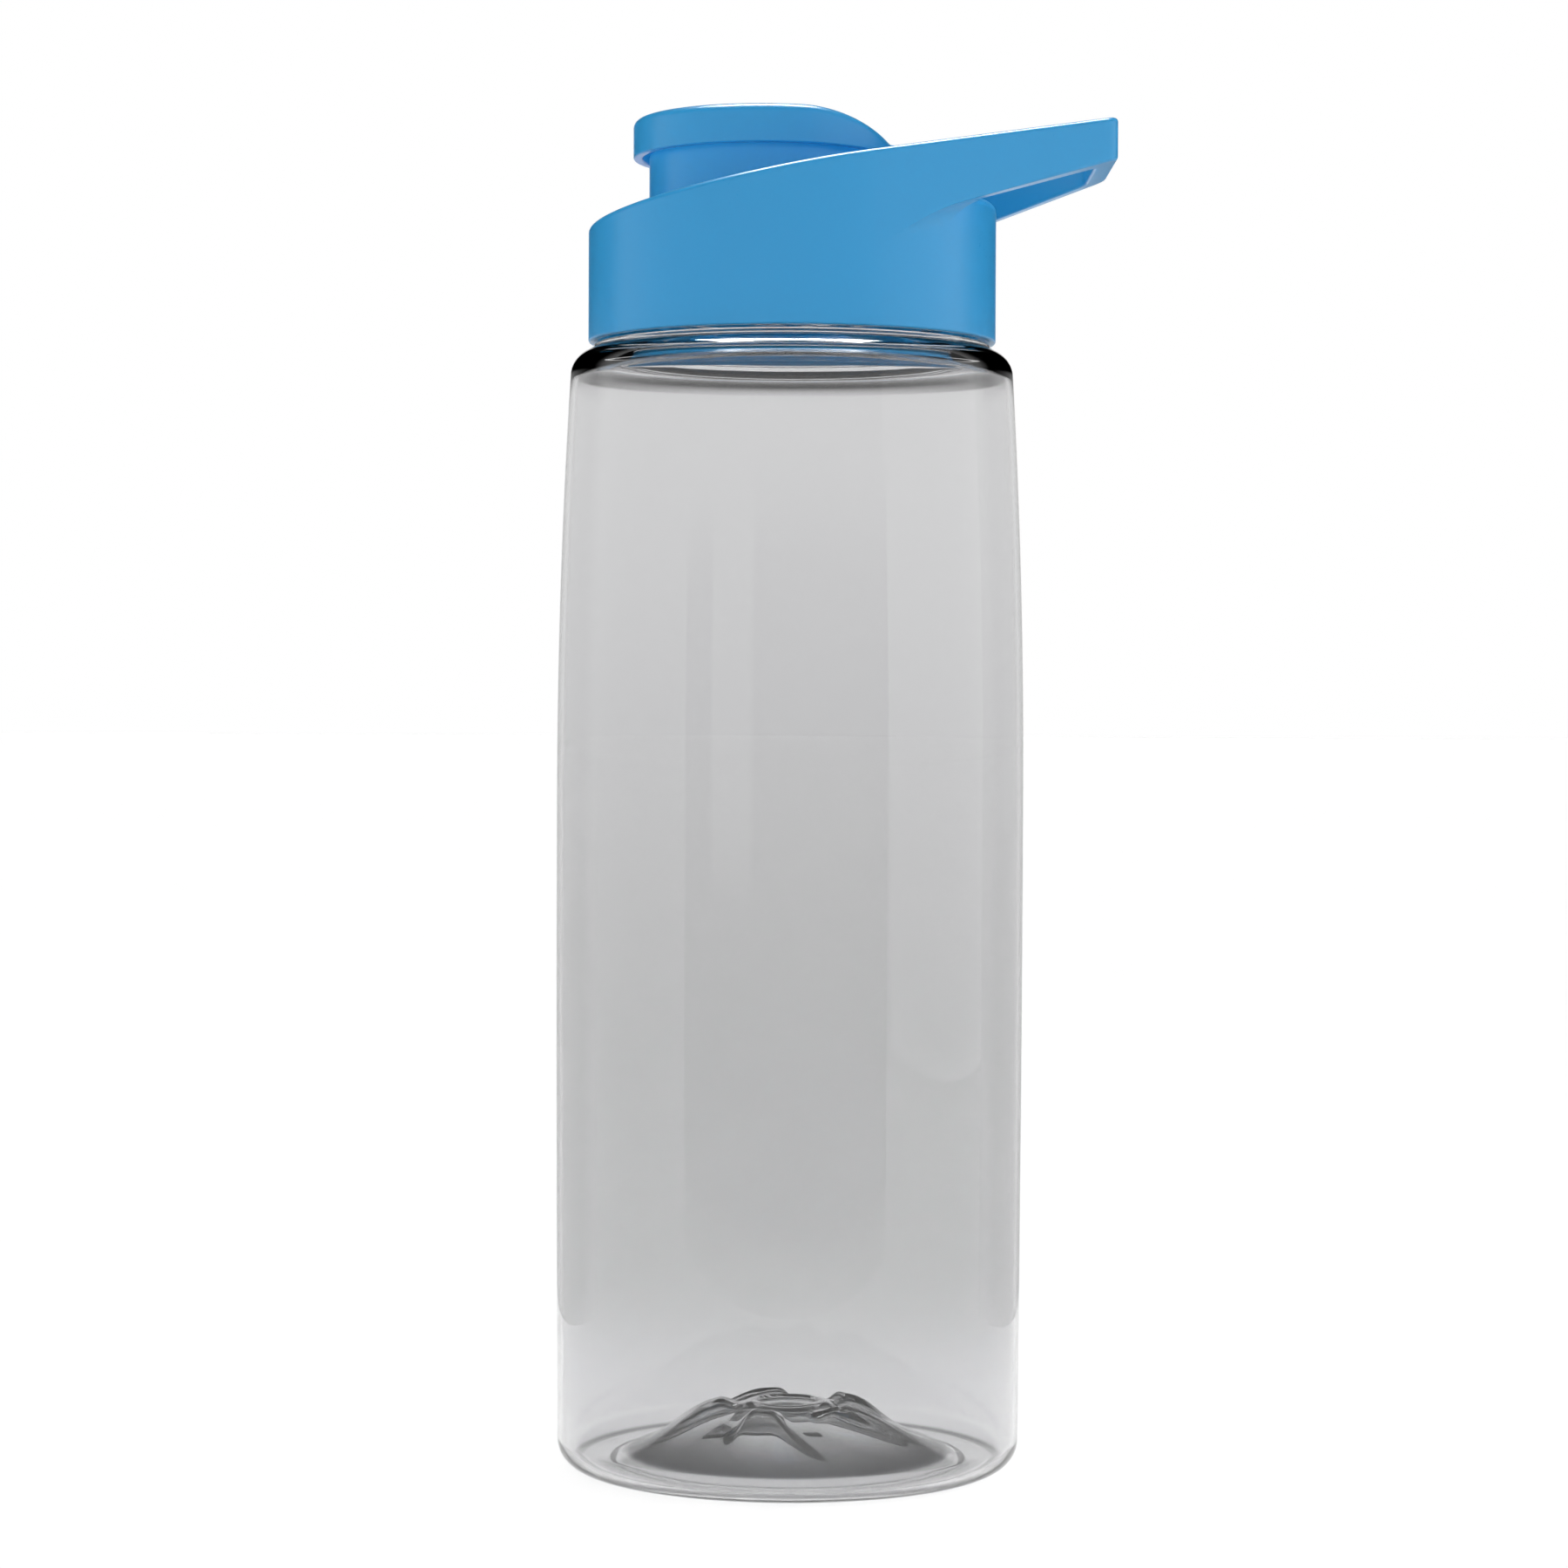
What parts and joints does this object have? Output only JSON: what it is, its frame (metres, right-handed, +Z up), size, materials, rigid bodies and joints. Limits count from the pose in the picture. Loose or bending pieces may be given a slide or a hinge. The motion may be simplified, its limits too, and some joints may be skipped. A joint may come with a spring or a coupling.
{
  "type": "sports bottle",
  "caption": "Clear blow-moulded drinking bottle with a screw lid, a hinged cap over a wide spout and a carry loop.",
  "frame": {"origin": "on the standing surface, under the middle of the whole outline; the bottle's own axis is 7.015 mm from it towards -X", "axes": "+Z up along the bottle, +X towards the carry loop, +Y to the side"},
  "size_m": [0.0904, 0.0764, 0.2195],
  "materials": {
    "clear_smoke_plastic": "clear, lightly smoked, polished",
    "sky_blue_plastic": "satin moulded",
    "clear_silicone": "milky silicone",
    "white_plastic": "plain moulded"
  },
  "bodies": {
    "bottle": {"bottle_body": "clear_smoke_plastic"},
    "lid_seal": {"lid_gasket": "clear_silicone"},
    "lid": {"lid_shell": "sky_blue_plastic", "hinge_pin": "white_plastic"},
    "cap": {"flip_cap": "sky_blue_plastic", "spout_seal": "clear_silicone"}
  },
  "joints": [
    {"name": "lid_rise", "type": "slide", "parent": "bottle", "child": "lid_seal", "axis": [0, 0, 1], "range_m": [0, 0.0151]},
    {"name": "lid_turn", "type": "hinge", "parent": "lid_seal", "child": "lid", "pos_m": [-0.00702, 0, 0.19], "axis": [0, 0, 1], "range_deg": [0, 1080]},
    {"name": "cap_flip", "type": "hinge", "parent": "lid", "child": "cap", "pos_m": [0.01349, 0, 0.212], "axis": [0, 1, 0], "range_deg": [0, 135]}
  ],
  "couplings": [
    {"joint": "lid_rise", "follows": "lid_turn", "m_per_rad": 0.00079577}
  ]
}
